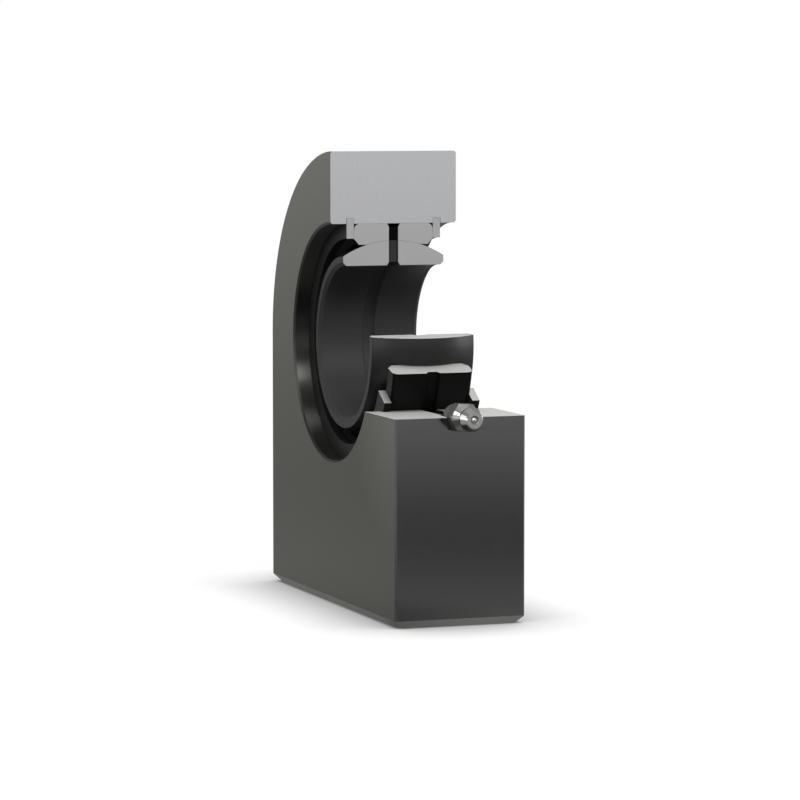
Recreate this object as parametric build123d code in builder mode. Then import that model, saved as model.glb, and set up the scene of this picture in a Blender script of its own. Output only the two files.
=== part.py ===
from build123d import *
from math import cos, hypot, radians, sin, sqrt, tan
import os

# Rod end with a rectangular welding shank and a steel on steel radial spherical plain bearing,
# shown cut open. Lengths are in millimetres and angles in degrees. The origin is the centre of
# the bearing, Y is the axis of the bore, X points to the grease nipple and Z points away from
# the weld. The quarter between +X and +Z is cut away, on a step of its own for each piece.

# Housing
eye_diameter = 100.0  # the shank's sides are tangent to the eye, so it is as wide
housing_thickness = 35.0
weld_face_distance = 69.0  # centre of the bore to the face that is welded on
edge_chamfer = 0.5
weld_chamfer = 2.0
housing_bore_chamfer = 0.5

# Bearing rings
bore_diameter = 40.0
bore_chamfer = 0.85
inner_ring_width = 28.0
inner_ring_end_land = 2.5  # radial, from bore to ball on each end face, which makes the ball 53 across
outer_ring_width = 22.0
outer_ring_wall = 4.5  # radial, at the middle of the ring, which makes it 62 across
outer_ring_round = 1.5
mouth_relief = 3.6  # length, from each end face, where the outer ring leaves the ball
mouth_chamfer_length = 1.4
mouth_chamfer_depth = 1.55

# Fits
running_clearance = 0.05  # radial, between the ball and the outer ring
seat_clearance = 0.03  # radial, between the outer ring and the housing
groove_clearance = 0.05  # between a retaining ring and its groove's floor and wall
thread_clearance = 0.02  # radial, between the nipple's thread crests and the tapped hole
contact_gap = 0.02  # between the check ball and what it touches

# Oil holes and grooves, the same in both rings
oil_hole_diameter = 2.6
oil_groove_width = 3.6
oil_groove_floor = 2.6
oil_groove_depth = 0.9

# Retaining rings: the section is widest at the back, opposite the open ends
groove_depth = 1.5  # radial, below the bearing's seat
groove_width = 2.15
retaining_ring_thickness = 2.0
retaining_ring_back_width = 5.8
retaining_ring_offset = 0.3  # of the inner circle, towards the open ends
open_ends_direction = 40.0  # from +X towards +Z, in the quarter that is cut away

# Grease nipple: lengths run along X, from the housing's side outwards
nipple_axis_height = -15.9
thread_diameter = 6.0
thread_pitch = 1.0
thread_depth = 0.61
thread_length = 5.0
tapped_depth = 7.0
oil_way_diameter = 4.2
tapped_hole_chamfer = 0.4
hexagon_standoff = 0.2
hexagon_across_flats = 7.0
hexagon_length = 3.3
hexagon_bevel_angle = 30.0
hexagon_turn = -4.0  # of the corners, from the Y axis, as it stands when screwed home
shoulder_length = 1.4
neck_diameter = 4.8
neck_length = 1.0
head_back_length = 1.3
head_diameter = 6.2
head_band_length = 0.5
head_cone_length = 2.1
tip_diameter = 4.4
tip_bevel = 0.2

# Check ball and spring inside the nipple
check_ball_diameter = 2.0
mouth_diameter = 1.6
mouth_flare_diameter = 2.4
mouth_flare_length = 0.4
chamber_diameter = 2.3
chamber_length = 5.0
passage_diameter = 1.2
spring_wire_diameter = 0.25
spring_wire_sides = 6
spring_coil_diameter = 1.6  # to the middle of the wire
spring_turns = 5

# Section cuts: upright through the bore's axis above each step, and sloping below it.
# The rings' steps share one line inside the bore, and each slopes further than the last.
# The housing's step is level and splits the tapped hole along the nipple's axis.
step_height = 4.8
inner_ring_slope = 5.3
outer_ring_slope = 20.1
retaining_ring_slope = 32.2
housing_step_height = -16.0
housing_slope = 0.0

os.makedirs("parts", exist_ok=True)

# Sizes that follow from the ones above
eye_radius = eye_diameter / 2
half_thickness = housing_thickness / 2
bore_radius = bore_diameter / 2
ball_radius = hypot(bore_radius + inner_ring_end_land, inner_ring_width / 2)
seat_radius = ball_radius + running_clearance
outer_ring_radius = ball_radius + outer_ring_wall
housing_bore_radius = outer_ring_radius + seat_clearance
groove_radius = outer_ring_radius + groove_depth
reach = 2 * (eye_diameter + weld_face_distance + housing_thickness)  # past every surface
housing_side = eye_radius
hexagon_start = housing_side + hexagon_standoff
hexagon_end = hexagon_start + hexagon_length
shoulder_end = hexagon_end + shoulder_length
neck_end = shoulder_end + neck_length
head_back_end = neck_end + head_back_length
head_band_end = head_back_end + head_band_length
nipple_tip = head_band_end + head_cone_length
mouth_seat = nipple_tip - mouth_flare_length
chamber_start = mouth_seat - chamber_length
check_ball_radius = check_ball_diameter / 2
check_ball_centre = mouth_seat - sqrt((check_ball_radius + contact_gap) ** 2 - (mouth_diameter / 2) ** 2)
nipple_axis = Axis((0, 0, nipple_axis_height), (1, 0, 0))
nipple_section = Plane(origin=(0, 0, nipple_axis_height), x_dir=(1, 0, 0), z_dir=(0, -1, 0))


def across(distance):
    """Plane square to the nipple's axis, at a distance along X."""
    return Plane(origin=(distance, 0, nipple_axis_height), x_dir=(0, 1, 0), z_dir=(1, 0, 0))


def cut_open(height, slope):
    """Cut the quarter between +X and +Z from the piece being built, above a step."""
    with BuildSketch(Plane.XZ) as quarter:
        Polygon((0, reach), (0, height), (reach, height - reach * tan(radians(slope))), (reach, reach), align=None)
    extrude(quarter.sketch, amount=reach, both=True, mode=Mode.SUBTRACT)


def oil_groove(radius, depth_sign):
    """Section of a ring-shaped oil groove, sunk outwards (+1) or inwards (-1) from a radius."""
    floor = radius + depth_sign * oil_groove_depth
    overrun = radius - depth_sign * oil_groove_depth
    flare = oil_groove_width - oil_groove_floor
    Polygon(
        (floor, -oil_groove_floor / 2),
        (floor, oil_groove_floor / 2),
        (overrun, oil_groove_floor / 2 + flare),
        (overrun, -oil_groove_floor / 2 - flare),
        align=None,
    )


def oil_holes():
    """Drill the two opposite oil holes, on the Z axis, through the ring being built."""
    with BuildSketch(Plane.XY) as hole:
        Circle(oil_hole_diameter / 2)
    extrude(hole.sketch, amount=reach, both=True, mode=Mode.SUBTRACT)


# Housing: eye and shank from one outline, bored, grooved and drilled, then cut open
with BuildPart() as housing:
    with BuildSketch(Plane.XZ):
        Circle(eye_radius)
        with Locations((0, -weld_face_distance / 2)):
            Rectangle(eye_diameter, weld_face_distance)
    extrude(amount=half_thickness, both=True)
    weld_face = housing.faces().sort_by(Axis.Z)[0]
    chamfer(weld_face.edges(), weld_chamfer)
    outline_faces = housing.faces().filter_by(Axis.Y)
    outline_edges = outline_faces.edges().filter_by(lambda edge: edge.center().Z > weld_chamfer - weld_face_distance)
    chamfer(outline_edges, edge_chamfer)
    with BuildSketch(Plane.XY):
        Polygon(
            (0, -half_thickness),
            (housing_bore_radius + housing_bore_chamfer, -half_thickness),
            (housing_bore_radius, housing_bore_chamfer - half_thickness),
            (housing_bore_radius, half_thickness - housing_bore_chamfer),
            (housing_bore_radius + housing_bore_chamfer, half_thickness),
            (0, half_thickness),
            align=None,
        )
        for side in (-1, 1):
            groove_middle = side * (outer_ring_width + groove_width) / 2
            with Locations((groove_radius / 2, groove_middle)):
                Rectangle(groove_radius, groove_width)
    revolve(axis=Axis.Y, mode=Mode.SUBTRACT)
    with BuildSketch(nipple_section):
        Polygon(
            (0, 0),
            (housing_side, 0),
            (housing_side, thread_diameter / 2 + thread_clearance + tapped_hole_chamfer),
            (housing_side - tapped_hole_chamfer, thread_diameter / 2 + thread_clearance),
            (housing_side - tapped_depth, thread_diameter / 2 + thread_clearance),
            (housing_side - tapped_depth - (thread_diameter - oil_way_diameter) / 2, oil_way_diameter / 2),
            (0, oil_way_diameter / 2),
            align=None,
        )
    revolve(axis=nipple_axis, mode=Mode.SUBTRACT)
    cut_open(housing_step_height, housing_slope)

# Inner ring: a ball with flat ends and a bore
with BuildPart() as inner_ring:
    half_width = inner_ring_width / 2
    end_radius = bore_radius + inner_ring_end_land
    with BuildSketch(Plane.XY):
        with BuildLine():
            Line((bore_radius + bore_chamfer, -half_width), (end_radius, -half_width))
            ThreePointArc((end_radius, -half_width), (ball_radius, 0), (end_radius, half_width))
            Polyline(
                (end_radius, half_width),
                (bore_radius + bore_chamfer, half_width),
                (bore_radius, half_width - bore_chamfer),
                (bore_radius, bore_chamfer - half_width),
                (bore_radius + bore_chamfer, -half_width),
            )
        make_face()
    revolve(axis=Axis.Y)
    with BuildSketch(Plane.XY) as inner_groove:
        oil_groove(bore_radius, 1)
    revolve(axis=Axis.Y, mode=Mode.SUBTRACT)
    oil_holes()
    cut_open(step_height, inner_ring_slope)

# Outer ring: hollow seat for the ball, relieved and bevelled towards both mouths
with BuildPart() as outer_ring:
    half_width = outer_ring_width / 2
    relief_start = half_width - mouth_relief
    relief_radius = sqrt(seat_radius**2 - relief_start**2)
    mouth_start = half_width - mouth_chamfer_length
    mouth_radius = relief_radius + mouth_chamfer_depth
    # Each outer edge is rounded by three short cones, which keep within 0.05 mm of the arc
    rim_radius = outer_ring_radius - outer_ring_round
    rim_start = half_width - outer_ring_round
    rim = [
        (rim_radius + outer_ring_round * sin(radians(turn)), rim_start + outer_ring_round * cos(radians(turn)))
        for turn in (0, 30, 60, 90)
    ]
    with BuildSketch(Plane.XY):
        with BuildLine():
            ThreePointArc((relief_radius, -relief_start), (seat_radius, 0), (relief_radius, relief_start))
            Polyline(
                (relief_radius, relief_start),
                (relief_radius, mouth_start),
                (mouth_radius, half_width),
                *rim,
                *[(radius, -width) for radius, width in reversed(rim)],
                (mouth_radius, -half_width),
                (relief_radius, -mouth_start),
                (relief_radius, -relief_start),
            )
        make_face()
    revolve(axis=Axis.Y)
    with BuildSketch(Plane.XY) as outer_groove:
        oil_groove(outer_ring_radius, -1)
    revolve(axis=Axis.Y, mode=Mode.SUBTRACT)
    oil_holes()
    cut_open(step_height, outer_ring_slope)


def retaining_ring(side):
    """Flat retaining ring in the front (-1) or rear (+1) groove, resting against the outer ring."""
    near_face = outer_ring_width / 2 + groove_clearance
    outer_radius = groove_radius - groove_clearance
    inner_radius = outer_radius - retaining_ring_back_width + retaining_ring_offset
    offset_x = retaining_ring_offset * cos(radians(open_ends_direction))
    offset_z = retaining_ring_offset * sin(radians(open_ends_direction))
    with BuildPart() as ring:
        with BuildSketch(Plane.XZ.offset(-side * near_face)):
            Circle(outer_radius)
            with Locations((offset_x, offset_z)):
                Circle(inner_radius, mode=Mode.SUBTRACT)
        extrude(amount=-side * retaining_ring_thickness)
        cut_open(step_height, retaining_ring_slope)
    return ring


# Nipple body: bevelled hexagon, threaded stem, neck and cone-shaped head, hollow right through
with BuildPart() as nipple_body:
    flats_radius = hexagon_across_flats / 2
    corners_radius = flats_radius / cos(radians(30))
    bevel_run = (corners_radius - flats_radius) * tan(radians(hexagon_bevel_angle))
    with BuildSketch(across(hexagon_start)):
        RegularPolygon(flats_radius, 6, major_radius=False, rotation=hexagon_turn)
    extrude(amount=hexagon_length + shoulder_length)
    with BuildSketch(nipple_section):
        Polygon(
            (hexagon_start, 0),
            (hexagon_start, corners_radius),
            (hexagon_end - bevel_run, corners_radius),
            (hexagon_end, flats_radius),
            (shoulder_end, neck_diameter / 2),
            (shoulder_end, 0),
            align=None,
        )
    revolve(axis=nipple_axis, mode=Mode.INTERSECT)
    stem_end = housing_side - thread_length
    thread_crest = thread_diameter / 2
    thread_root = thread_crest - thread_depth
    # The thread is drawn as rings, one to each pitch
    thread = []
    for turn in range(int(thread_length / thread_pitch)):
        ring_start = stem_end + turn * thread_pitch
        thread += [(ring_start, thread_root), (ring_start + thread_pitch / 2, thread_crest)]
    with BuildSketch(nipple_section):
        Polygon(
            (stem_end, 0),
            *thread,
            (thread[-1][0] + thread_pitch / 2, thread_root),
            (hexagon_start, thread_root),
            (hexagon_start, neck_diameter / 2),
            (neck_end, neck_diameter / 2),
            (head_back_end, head_diameter / 2),
            (head_band_end, head_diameter / 2),
            (nipple_tip, tip_diameter / 2),
            (nipple_tip, 0),
            align=None,
        )
    revolve(axis=nipple_axis)
    tip_edge = nipple_body.faces().sort_by(Axis.X)[-1].edges()
    chamfer(tip_edge, tip_bevel)
    with BuildSketch(nipple_section):
        Polygon(
            (stem_end, 0),
            (stem_end, passage_diameter / 2),
            (chamber_start, passage_diameter / 2),
            (chamber_start, chamber_diameter / 2),
            (mouth_seat, chamber_diameter / 2),
            (mouth_seat, mouth_diameter / 2),
            (nipple_tip, mouth_flare_diameter / 2),
            (nipple_tip, 0),
            align=None,
        )
    revolve(axis=nipple_axis, mode=Mode.SUBTRACT)

# Check ball: pressed against the mouth from inside
with BuildPart() as nipple_ball:
    with BuildSketch(nipple_section):
        with Locations((check_ball_centre, 0)):
            Circle(check_ball_radius)
            Rectangle(check_ball_diameter, check_ball_diameter, align=(Align.CENTER, Align.MAX), mode=Mode.SUBTRACT)
    revolve(axis=nipple_axis)

# Nipple spring: from the shoulder of the chamber to the back of the check ball
with BuildPart() as nipple_spring:
    coil_radius = spring_coil_diameter / 2
    wire_radius = spring_wire_diameter / 2
    spring_back = chamber_start + wire_radius + contact_gap
    ball_contact = check_ball_radius + wire_radius + contact_gap
    spring_front = check_ball_centre - sqrt(ball_contact**2 - coil_radius**2)
    spring_length = spring_front - spring_back
    with BuildLine():
        coil = Helix(
            spring_length / spring_turns,
            spring_length,
            coil_radius,
            center=(spring_back, 0, nipple_axis_height),
            direction=(1, 0, 0),
        )
    with BuildSketch(Plane(origin=coil @ 0, z_dir=coil % 0)):
        RegularPolygon(wire_radius, spring_wire_sides)
    sweep(is_frenet=True)

front_retaining_ring = retaining_ring(-1)
rear_retaining_ring = retaining_ring(1)

pieces = {
    "housing": housing,
    "outer_ring": outer_ring,
    "inner_ring": inner_ring,
    "front_retaining_ring": front_retaining_ring,
    "rear_retaining_ring": rear_retaining_ring,
    "nipple_body": nipple_body,
    "nipple_ball": nipple_ball,
    "nipple_spring": nipple_spring,
}
for name, piece in pieces.items():
    piece.part.label = name
    export_step(piece.part, f"parts/{name}.step")
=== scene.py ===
import math

import bpy
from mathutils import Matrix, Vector


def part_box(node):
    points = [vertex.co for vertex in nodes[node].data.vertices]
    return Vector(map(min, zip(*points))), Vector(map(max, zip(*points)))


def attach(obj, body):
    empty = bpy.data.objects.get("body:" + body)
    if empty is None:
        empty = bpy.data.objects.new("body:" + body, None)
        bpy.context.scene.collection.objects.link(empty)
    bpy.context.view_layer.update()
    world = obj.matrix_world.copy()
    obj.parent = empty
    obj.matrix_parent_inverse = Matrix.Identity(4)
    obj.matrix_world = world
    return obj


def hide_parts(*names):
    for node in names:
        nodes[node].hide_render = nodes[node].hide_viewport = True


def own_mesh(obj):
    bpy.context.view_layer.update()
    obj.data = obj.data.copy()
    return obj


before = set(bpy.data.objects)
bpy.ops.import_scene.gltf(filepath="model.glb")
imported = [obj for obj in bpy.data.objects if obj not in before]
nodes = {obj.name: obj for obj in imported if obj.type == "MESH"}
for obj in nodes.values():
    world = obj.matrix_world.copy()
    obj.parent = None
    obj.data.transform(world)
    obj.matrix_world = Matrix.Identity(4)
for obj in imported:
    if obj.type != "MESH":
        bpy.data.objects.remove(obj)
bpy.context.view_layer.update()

# Sizes in metres, in the model's frame: the origin is the bearing's centre and Y is the bore's axis
MM = 0.001
weld_face_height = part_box("housing")[0].z
front_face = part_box("housing")[0].y
housing_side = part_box("housing")[1].x
nipple_axis_height = (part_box("nipple_ball")[0].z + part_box("nipple_ball")[1].z) / 2
outer_ring_radius = -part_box("outer_ring")[0].z
ball_radius = -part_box("inner_ring")[0].z
weld_bevel_height = 2.0 * MM
hexagon_radius = 3.5 * MM  # to the middle of a flat

# Limits that tell one surface from the next. Each leaves a little room round what it holds
bore_limit = outer_ring_radius + 1.6 * MM  # from the bore's axis: the bearing seat and the two grooves
oil_way_start = 0.8 * outer_ring_radius  # from the bore's axis: the oil way and the tapped hole lie beyond
tapped_hole_limit = 3.5 * MM  # from the nipple's axis: the tapped hole and its bevel
nipple_bore_limit = 1.3 * MM  # from the nipple's axis: its mouth, chamber and stem hole
ball_facets = 0.1 * MM  # how far inside the true ball the middles of its flat facets may lie
touching = 0.01 * MM

# How much of a face's normal points along an axis, from which on the face is slanted or square to that axis
slanted = 0.5
square = 0.9
fully_square = 0.99

# The height of each piece's step on the upright section plane, and the step's slope in degrees
housing_step = -16.0 * MM
bearing_step = 4.8 * MM
steps = {
    "housing": (housing_step, 0.0),
    "outer_ring": (bearing_step, 20.1),
    "inner_ring": (bearing_step, 5.3),
    "front_retaining_ring": (bearing_step, 32.2),
    "rear_retaining_ring": (bearing_step, 32.2),
}

# Pattern sizes along X, Y and Z. The real patterns are too fine to show from the camera's distance, so
# each is drawn as coarse as it needs to show
housing_grain = (1.5 * MM, 1.5 * MM, 1.5 * MM)  # the oxide's grain, really about 0.05 mm
bearing_grain = (0.8 * MM, 0.8 * MM, 0.8 * MM)  # phosphate crystals, really about 0.03 mm
nipple_grain = (0.5 * MM, 0.5 * MM, 0.5 * MM)  # zinc crystals, really about 0.02 mm
wire_grain = (0.2 * MM, 0.2 * MM, 0.2 * MM)  # scratches of the drawing die, really about 0.01 mm
upright_grinding = (0.3 * MM, 0.3 * MM, 5 * MM)  # lines along Z, really about 0.05 mm apart
level_grinding = (5 * MM, 0.3 * MM, 5 * MM)  # lines along X, really about 0.05 mm apart
turning_marks = (12 * MM, 0.5 * MM, 12 * MM)  # rings round Y, really about 0.15 mm apart
drilling_marks = (0.3 * MM, 3 * MM, 3 * MM)  # rings round X, really about 0.1 mm apart
relief_depth = 0.01 * MM  # of the grain and the grinding lines


def linear(hex_colour):
    """Scene-linear RGBA of an sRGB hex colour."""
    channels = [int(hex_colour[i : i + 2], 16) / 255 for i in (1, 3, 5)]
    return [c / 12.92 if c <= 0.04045 else ((c + 0.055) / 1.055) ** 2.4 for c in channels] + [1.0]


def grey(tone):
    """Scene-linear RGBA of a grey that is given as a share of white."""
    return (tone, tone, tone, 1.0)


def add(tree, kind, settings=None, **inputs):
    """Add a node. settings are its properties; inputs are socket values, or the sockets that feed them.

    An input is named by its socket, with _ for a space, or by its number, such as n0.
    """
    node = tree.nodes.new(kind)
    for name, value in (settings or {}).items():
        setattr(node, name, value)
    for name, value in inputs.items():
        socket = node.inputs[int(name[1:])] if name[1:].isdigit() else node.inputs[name.replace("_", " ")]
        if isinstance(value, bpy.types.NodeSocket):
            tree.links.new(value, socket)
        else:
            socket.default_value = value
    return node


def finish(name, low, high, roughness, pattern, bump=0.0, **shader_inputs):
    """A steel surface whose tone runs from low to high in a grain of the pattern's size.

    Its roughness varies by a tenth with the grain, and bump gives the grain its relief.
    """
    material = bpy.data.materials.new(name)
    material.use_nodes = True
    tree = material.node_tree
    tree.nodes.clear()
    shader = add(tree, "ShaderNodeBsdfPrincipled", **shader_inputs)
    add(tree, "ShaderNodeOutputMaterial", Surface=shader.outputs["BSDF"])
    on_object = add(tree, "ShaderNodeTexCoord")
    grains_per_metre = [1 / size for size in pattern]
    place = add(tree, "ShaderNodeMapping", Vector=on_object.outputs["Object"], Scale=grains_per_metre)
    grain = add(
        tree, "ShaderNodeTexNoise", Vector=place.outputs["Vector"], Scale=1.0, Detail=3.0, Roughness=0.55
    )
    amount = grain.outputs["Fac"]
    tone = add(tree, "ShaderNodeMixRGB", Fac=amount, Color1=linear(low), Color2=linear(high))
    gloss = add(tree, "ShaderNodeMapRange", Value=amount, To_Min=roughness * 0.9, To_Max=roughness * 1.1)
    tree.links.new(tone.outputs["Color"], shader.inputs["Base Color"])
    tree.links.new(gloss.outputs["Result"], shader.inputs["Roughness"])
    if bump:
        relief = add(tree, "ShaderNodeBump", Strength=bump, Distance=relief_depth, Height=amount)
        tree.links.new(relief.outputs["Normal"], shader.inputs["Normal"])
    return material


# Housing. Black oxide rubbed thin on the edge breaks, which draws a fine paler line along each edge
edge_break = finish("black_oxide_edge_break", "#6a6a68", "#70706e", 0.3, housing_grain, Metallic=1.0)
# Black oxide on milled steel: dark grey and smooth, so that it mirrors the studio in soft bands
milled_black = finish(
    "black_oxide_milled_steel", "#6e6e6e", "#727272", 0.14, housing_grain, 0.1, Metallic=1.0
)
# Black oxide on ground steel: an olive grey with a duller sheen, painted paler towards one corner as a
# painted highlight
face_black = finish(
    "black_oxide_ground_face", "#45453c", "#73736d", 0.26, housing_grain, 0.1, Metallic=1.0
)
# Milled steel without oxide: pale, with little shine; its pale tone is also a painted reflection of the lit
# floor, so that the bevel draws a grey line above the floor
weld_bevel = finish(
    "milled_weld_bevel", "#a2a2a0", "#aaaaa8", 0.4, housing_grain, Metallic=1.0, Specular_Tint=grey(0.55)
)
# Turned steel darkened with oil: nearly black, with streaks of light along the bore
turned_bore = finish(
    "turned_housing_bore", "#454543", "#535351", 0.4, turning_marks,
    Metallic=1.0, Anisotropic=0.95, Anisotropic_Rotation=0.25,
)
# Turned bevels at the bore's two mouths: as dark, with one narrow highlight
bore_break = finish("turned_bore_break", "#3a3a38", "#464644", 0.34, housing_grain, Metallic=1.0)
# Drilled bare steel of the oil way and the tapped hole: mid grey, ringed by the drill
drilled_steel = finish("drilled_bare_steel", "#6f6f6e", "#7b7b7a", 0.35, drilling_marks, Metallic=1.0)

# Section faces. Ground bare steel of the housing's upright cut: pale grey satin with faint upright lines
ground_upright = finish(
    "ground_section_steel", "#c0c0c2", "#cacbcc", 0.24, upright_grinding, 0.1, Metallic=1.0
)
# The same grind on the rings' harder steel: a little darker, so that the pieces part from the housing
ring_section = finish("ground_ring_section", "#b4b4b5", "#bcbcbd", 0.3, upright_grinding, 0.1, Metallic=1.0)
# Coarser grind on the housing's level step: pale and matt under the overhead light
ground_step = finish("ground_step_steel", "#cacac8", "#d4d4d2", 0.5, level_grinding, 0.15, Metallic=1.0)
# The same on the inner ring's sloping step: a shade greyer
ring_step = finish("ground_ring_step", "#bebebc", "#c8c8c6", 0.5, level_grinding, 0.15, Metallic=1.0)
# On the outer ring's steeper step: mid grey, darker than the inner ring's step of the same steel as painted
# shade, so that it parts from the ring inside it
outer_ring_step = finish(
    "ground_outer_ring_step", "#a8a8a6", "#b2b2b0", 0.5, level_grinding, 0.15, Metallic=1.0
)
# On the retaining rings' steepest steps: the darkest of the section faces, as painted shade
spring_step = finish(
    "ground_spring_ring_step", "#7e7e7d", "#8a8a89", 0.5, level_grinding, 0.15, Metallic=1.0
)

# Bearing. Manganese phosphate is a crystalline coat that holds oil. On the lapped ball: black, softly shining
phosphated_ball = finish(
    "phosphated_ball_surface", "#141414", "#1a1a1a", 0.35, bearing_grain, Specular_IOR_Level=0.36
)
# In the inner ring's bore: dark grey, with a broad dull shine
phosphated_bore = finish(
    "phosphated_bore_surface", "#353535", "#3b3b3b", 0.5, bearing_grain, Specular_IOR_Level=0.22
)
# On the outer ring: black, with almost no shine
phosphated_outside = finish(
    "phosphated_ring_outside", "#060606", "#0a0a0a", 0.5, bearing_grain, Specular_IOR_Level=0.05
)
# On the outer ring's ground ends: dark grey and dull, lifted paler as painted light against the shade of
# their recess
phosphated_end = finish(
    "phosphated_ring_end", "#363636", "#3e3e3e", 0.5, bearing_grain, Specular_IOR_Level=0.1
)
# Blued and oiled spring steel of the retaining rings: very dark grey and dull
blued_spring_steel = finish(
    "blued_spring_steel", "#2a2a2a", "#313131", 0.4, bearing_grain, Specular_IOR_Level=0.08
)

# Nipple. Bright zinc plate on turned steel: pale grey, with small sharp highlights
zinc_plate = finish("bright_zinc_plate", "#b2b2b0", "#c0c0be", 0.16, nipple_grain, Metallic=1.0)
# Zinc plate on the hexagon: mid grey and matt, darker than the rest of the plate as painted shade
dull_hexagon = finish("dull_nipple_hexagon", "#787876", "#828280", 0.5, nipple_grain, Metallic=1.0)
# Rolled thread: dark grey, darker than the plate where it sits in the tapped hole
dark_thread = finish("dark_nipple_thread", "#50504f", "#5a5a59", 0.5, nipple_grain, Metallic=1.0)
# Bored steel that the plate didn't reach: grey and matt
dull_mouth = finish("dull_nipple_mouth", "#8c8c8a", "#949492", 0.6, nipple_grain, Metallic=1.0)
# Polished ball steel under a film of grease: a light spot in the mouth
polished_ball = finish("polished_ball_steel", "#b4b4b4", "#bcbcbc", 0.35, nipple_grain, Metallic=1.0)
# Drawn spring wire: grey with a satin shine
drawn_wire = finish("drawn_spring_wire", "#8a8a88", "#969694", 0.3, wire_grain, Metallic=1.0)

# The front face is painted paler round its corner below the cut, a painted highlight, so its tone follows
# that and not the grain
highlight_reach = 32 * MM
highlight_strength = 0.9
highlight_corner = (housing_side, front_face, housing_step)
tree = face_black.node_tree
face_tone = tree.nodes["Principled BSDF"].inputs["Base Color"].links[0].from_node
place = add(tree, "ShaderNodeTexCoord")
from_corner = add(
    tree, "ShaderNodeVectorMath", {"operation": "DISTANCE"}, n0=place.outputs["Object"], n1=highlight_corner
)
painted_highlight = add(
    tree, "ShaderNodeMapRange",
    Value=from_corner.outputs["Value"], From_Max=highlight_reach, To_Min=highlight_strength, To_Max=0.0,
)
tree.links.new(painted_highlight.outputs["Result"], face_tone.inputs["Fac"])

# The tool marks in the housing's bore run round it, and stretch its highlights along the axis
tree = turned_bore.node_tree
around = add(tree, "ShaderNodeTangent", {"direction_type": "RADIAL", "axis": "Y"})
tree.links.new(around.outputs["Tangent"], tree.nodes["Principled BSDF"].inputs["Tangent"])


def section_of(polygon, height, slope):
    """Which of its piece's section faces a polygon lies on: "upright", "step" or none."""
    centre, normal = polygon.center, polygon.normal
    if abs(centre.x) < touching and normal.x > fully_square:
        return "upright"
    lean = math.radians(slope)
    step_normal = Vector((math.sin(lean), 0, math.cos(lean)))
    above_step = centre.z - height + centre.x * math.tan(lean)
    if abs(above_step) < touching and normal.dot(step_normal) > fully_square:
        return "step"
    return None


def housing_finish(polygon):
    """The housing's finish, away from its section faces."""
    centre, normal = polygon.center, polygon.normal
    from_nipple_axis = math.hypot(centre.y, centre.z - nipple_axis_height)
    bevelled = slanted < abs(normal.y) < square
    if centre.x > oil_way_start and from_nipple_axis < tapped_hole_limit:
        return drilled_steel
    if math.hypot(centre.x, centre.z) < bore_limit:
        return bore_break if bevelled else turned_bore
    if centre.z < weld_face_height + weld_bevel_height and -square < normal.z < -slanted:
        return weld_bevel
    if bevelled:
        return edge_break
    return face_black if abs(normal.y) > square else milled_black


def inner_ring_finish(polygon):
    """The inner ring's finish: the ball outside, and the bore with its ends and oil groove inside."""
    return phosphated_ball if polygon.center.length > ball_radius - ball_facets else phosphated_bore


def outer_ring_finish(polygon):
    """The outer ring's finish: its flat ends are greyer than the black outside and oil groove, partly as
    painted light in their recess.
    """
    return phosphated_end if abs(polygon.normal.y) > square else phosphated_outside


def retaining_ring_finish(polygon):
    """A retaining ring's finish: blued flat sides and inner rim, and a black outer rim."""
    centre, normal = polygon.center, polygon.normal
    faces_axis = centre.x * normal.x + centre.z * normal.z < 0
    return blued_spring_steel if abs(normal.y) > square or faces_axis else phosphated_outside


def nipple_finish(polygon):
    """The nipple's finish: plated outside, dull where it is bored or threaded, and dull with painted shade on
    the hexagon.
    """
    centre, normal = polygon.center, polygon.normal
    from_axis = Vector((0, centre.y, centre.z - nipple_axis_height))
    if from_axis.length < nipple_bore_limit and normal.dot(from_axis) < 0:
        return dull_mouth
    if centre.x < housing_side:
        return dark_thread
    return dull_hexagon if from_axis.length > hexagon_radius - touching else zinc_plate


def dress(name, finish_of):
    """Give each face of a piece the material that a function picks."""
    mesh = nodes[name].data
    mesh.materials.clear()
    slots = []
    for polygon in mesh.polygons:
        material = finish_of(polygon)
        if material not in slots:
            slots.append(material)
            mesh.materials.append(material)
        polygon.material_index = slots.index(material)


def dress_cut(name, upright, step, elsewhere):
    """Give a cut piece its section finishes, and elsewhere the material that a function picks."""
    section_finishes = {"upright": upright, "step": step}

    def finish_of(polygon):
        section = section_of(polygon, *steps[name])
        return section_finishes[section] if section else elsewhere(polygon)

    dress(name, finish_of)


dress_cut("housing", ground_upright, ground_step, housing_finish)
dress_cut("inner_ring", ring_section, ring_step, inner_ring_finish)
dress_cut("outer_ring", ring_section, outer_ring_step, outer_ring_finish)
for name in ("front_retaining_ring", "rear_retaining_ring"):
    dress_cut(name, ring_section, spring_step, retaining_ring_finish)
dress("nipple_body", nipple_finish)
dress("nipple_ball", lambda polygon: polished_ball)
dress("nipple_spring", lambda polygon: drawn_wire)

# Return spring: a copy of the nipple's spring on the housing, which stands in for it
return_spring = bpy.data.objects.new("return_spring", nodes["nipple_spring"].data.copy())
bpy.context.scene.collection.objects.link(return_spring)
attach(return_spring, "housing")
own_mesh(return_spring)
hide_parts("nipple_spring")

# Camera: the photograph's viewpoint, found from the housing's straight edges
camera_place = Vector((916.392, -328.971, 67.542)) * MM
camera_aim = Vector((1.707, 1.196, -15.506)) * MM
camera_data = bpy.data.cameras.new("camera")
camera_data.sensor_width = 36.0
camera_data.lens = 166.59
camera = bpy.data.objects.new("camera", camera_data)
bpy.context.scene.collection.objects.link(camera)
camera.location = camera_place
camera.rotation_euler = (camera_aim - camera_place).to_track_quat("-Z", "Y").to_euler()
bpy.context.scene.camera = camera

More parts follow.
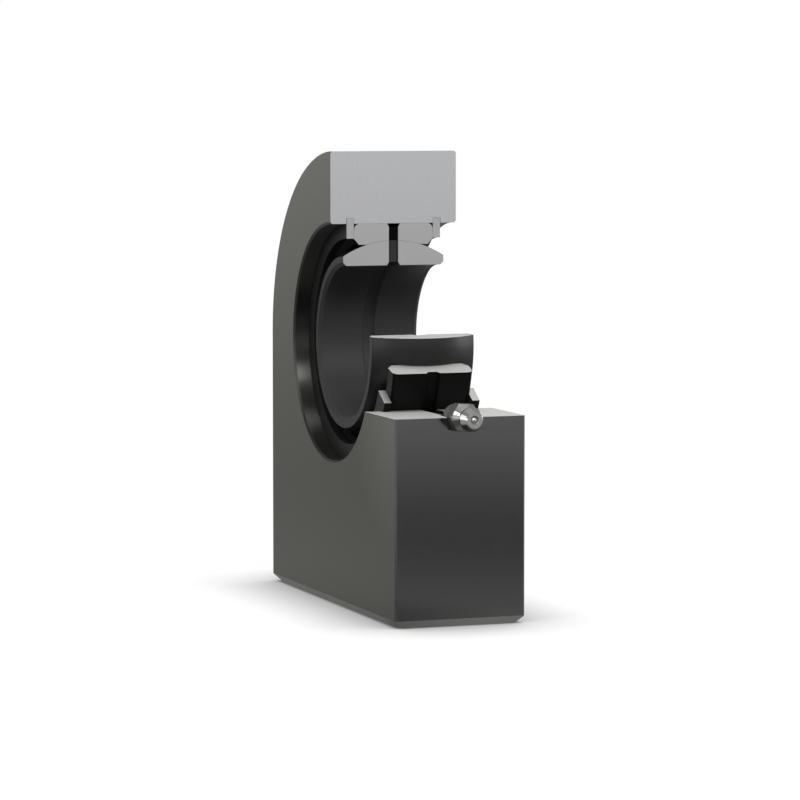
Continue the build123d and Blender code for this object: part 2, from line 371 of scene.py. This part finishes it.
# Floor: matt. Its glow makes it white to the camera and grey to reflections, and it throws little light back
floor_reach = 12.0
floor_corners = [(x * floor_reach, y * floor_reach) for x, y in ((-1, -1), (1, -1), (1, 1), (-1, 1))]
floor_data = bpy.data.meshes.new("floor")
floor_data.from_pydata([(x, y, weld_face_height) for x, y in floor_corners], [], [(0, 1, 2, 3)])
floor = bpy.data.objects.new("floor", floor_data)
bpy.context.scene.collection.objects.link(floor)
floor_material = bpy.data.materials.new("pale_floor")
floor_material.use_nodes = True
floor_data.materials.append(floor_material)
tree = floor_material.node_tree
tree.nodes.clear()
ray = add(tree, "ShaderNodeLightPath")
place = add(tree, "ShaderNodeTexCoord")
from_middle = add(tree, "ShaderNodeVectorMath", {"operation": "LENGTH"}, n0=place.outputs["Object"])

# To the camera: white, a shade less near the part, and dark in the shadow where the part touches the floor
shadow_reach = 24 * MM
camera_glow = add(
    tree, "ShaderNodeMapRange",
    Value=from_middle.outputs["Value"], From_Min=0.2, From_Max=1.0, To_Min=0.92, To_Max=1.0,
)
openness = add(tree, "ShaderNodeAmbientOcclusion", {"samples": 16}, Distance=shadow_reach)
shadow = add(tree, "ShaderNodeMapRange", Value=openness.outputs["AO"], To_Min=-0.1, To_Max=1.0)
camera_glow = add(
    tree, "ShaderNodeMath", {"operation": "MULTIPLY"},
    n0=camera_glow.outputs["Result"], n1=shadow.outputs["Result"],
)
camera_glow = add(
    tree, "ShaderNodeMath", {"operation": "MULTIPLY"},
    n0=ray.outputs["Is Camera Ray"], n1=camera_glow.outputs["Value"],
)

# To reflections: a painted grey for each distance in metres, darkest near 0.3 m, which paints reflected shade
# into the dark faces that mirror it
floor_tones = [(0.0, 0.45), (0.3, 0.37), (0.7, 0.45), (1.2, 0.59), (2.1, 0.63), (4.7, 0.86)]
tones_reach = 5.0
far_out = add(tree, "ShaderNodeMapRange", Value=from_middle.outputs["Value"], From_Max=tones_reach)
mirrored = add(tree, "ShaderNodeValToRGB", Fac=far_out.outputs["Result"])
stops = mirrored.color_ramp.elements
while len(stops) < len(floor_tones):
    stops.new(0.5)
for stop, (metres, tone) in zip(stops, floor_tones):
    stop.position = metres / tones_reach
    stop.color = grey(tone)

# A painted dark patch off the nipple's side, seen only in reflections, which paints shade on the milled side,
# most of all half-way down
patch_middle = (0.25, 0.08, weld_face_height)
from_patch = add(
    tree, "ShaderNodeVectorMath", {"operation": "DISTANCE"}, n0=place.outputs["Object"], n1=patch_middle
)
patch = add(
    tree, "ShaderNodeMapRange",
    Value=from_patch.outputs["Value"], From_Min=0.05, From_Max=0.3, To_Min=0.2, To_Max=1.0,
)
mirrored = add(
    tree, "ShaderNodeMath", {"operation": "MULTIPLY"},
    n0=mirrored.outputs["Color"], n1=patch.outputs["Result"],
)

# A painted black strip in front, seen only in reflections, which paints shade on the nipple's underside, the
# corner edge and the milled side's foot
strip_x, strip_y = 0.075, -0.12
strip_narrowing = 0.4
strip_place = add(
    tree, "ShaderNodeMapping", Vector=place.outputs["Object"],
    Location=(-strip_x, -strip_y * strip_narrowing, -weld_face_height), Scale=(1, strip_narrowing, 1),
)
from_strip = add(tree, "ShaderNodeVectorMath", {"operation": "LENGTH"}, n0=strip_place.outputs["Vector"])
strip = add(tree, "ShaderNodeMapRange", Value=from_strip.outputs["Value"], From_Min=0.038, From_Max=0.056)
mirrored = add(
    tree, "ShaderNodeMath", {"operation": "MULTIPLY"},
    n0=mirrored.outputs["Value"], n1=strip.outputs["Result"],
)
mirrored = add(
    tree, "ShaderNodeMath", {"operation": "MULTIPLY"},
    n0=ray.outputs["Is Glossy Ray"], n1=mirrored.outputs["Value"],
)

strength = add(
    tree, "ShaderNodeMath", {"operation": "ADD"},
    n0=camera_glow.outputs["Value"], n1=mirrored.outputs["Value"],
)
matt = add(tree, "ShaderNodeBsdfDiffuse", Color=grey(0.08))
glow = add(tree, "ShaderNodeEmission", Color=grey(1.0), Strength=strength.outputs["Value"])
both = add(tree, "ShaderNodeAddShader", n0=matt.outputs["BSDF"], n1=glow.outputs["Emission"])
add(tree, "ShaderNodeOutputMaterial", Surface=both.outputs["Shader"])

# World: white to the camera, a studio to reflections, and a plain dark grey sky to what it lights
world = bpy.data.worlds.new("studio")
bpy.context.scene.world = world
world.use_nodes = True
tree = world.node_tree
tree.nodes.clear()
ray = add(tree, "ShaderNodeLightPath")
seen = add(
    tree, "ShaderNodeMath", {"operation": "MAXIMUM"},
    n0=ray.outputs["Is Camera Ray"], n1=ray.outputs["Is Glossy Ray"],
)
seen = add(
    tree, "ShaderNodeMath", {"operation": "MAXIMUM"},
    n0=seen.outputs["Value"], n1=ray.outputs["Is Transmission Ray"],
)
direction = add(tree, "ShaderNodeTexCoord")
height = add(tree, "ShaderNodeSeparateXYZ", Vector=direction.outputs["Generated"])

# To reflections it is white at the horizon and grey above it, and paler again overhead for the level steps
sky = add(
    tree, "ShaderNodeMapRange",
    Value=height.outputs["Z"], From_Min=0.1, From_Max=0.27, To_Min=1.0, To_Max=0.36,
)
overhead_glow = add(
    tree, "ShaderNodeMapRange",
    Value=height.outputs["Z"], From_Min=0.7, From_Max=0.95, To_Min=0.0, To_Max=0.3,
)
sky = add(
    tree, "ShaderNodeMath", {"operation": "ADD"},
    n0=sky.outputs["Result"], n1=overhead_glow.outputs["Result"],
)

# A bright window low on the left, which puts the light spot on the nipple's flank
window_direction = (-0.36, -0.91, 0.2)
towards_window = add(
    tree, "ShaderNodeVectorMath", {"operation": "DOT_PRODUCT"},
    n0=direction.outputs["Generated"], n1=window_direction,
)
window_glow = add(
    tree, "ShaderNodeMapRange",
    Value=towards_window.outputs["Value"], From_Min=0.93, From_Max=0.965, To_Min=0.0, To_Max=1.5,
)
sky = add(
    tree, "ShaderNodeMath", {"operation": "ADD"}, n0=sky.outputs["Value"], n1=window_glow.outputs["Result"]
)
sky = add(
    tree, "ShaderNodeMath", {"operation": "MAXIMUM"},
    n0=sky.outputs["Value"], n1=ray.outputs["Is Camera Ray"],
)
tone = add(
    tree, "ShaderNodeMixRGB",
    Fac=seen.outputs["Value"], Color1=grey(0.02), Color2=sky.outputs["Value"],
)
background = add(tree, "ShaderNodeBackground", Color=tone.outputs["Color"], Strength=1.0)
add(tree, "ShaderNodeOutputWorld", Surface=background.outputs["Background"])


def soft_box(name, location, width, height, watts):
    """A soft box that is width by height, turned towards the bearing."""
    data = bpy.data.lights.new(name, "AREA")
    data.shape = "RECTANGLE"
    data.size = width
    data.size_y = height
    data.energy = watts
    lamp = bpy.data.objects.new(name, data)
    bpy.context.scene.collection.objects.link(lamp)
    lamp.location = location
    lamp.rotation_euler = (-Vector(location)).to_track_quat("-Z", "Y").to_euler()
    return lamp


overhead = soft_box("overhead_soft_box", (0.08, 0.1, 0.8), width=0.5, height=0.5, watts=7.2)
# It is flagged off the nipple, whose small round faces would only mirror it
under_overhead = bpy.data.collections.new("under_overhead_soft_box")
overhead.light_linking.receiver_collection = under_overhead
for name, node in nodes.items():
    if not name.startswith("nipple"):
        under_overhead.objects.link(node)
under_overhead.objects.link(floor)
soft_box("rear_soft_box", (0.5, 1.2, 0.1), width=0.5, height=0.5, watts=4.0)
soft_box("right_soft_box", (1.0, 0.0, 0.65), width=0.75, height=0.3, watts=7.0)
soft_box("front_soft_box", (0.96, -0.72, 0.0), width=0.3, height=0.3, watts=1.0)
soft_box("left_soft_box", (0.37, -0.88, 0.5), width=0.4, height=0.4, watts=2.5)

bpy.context.scene.view_settings.view_transform = "Standard"
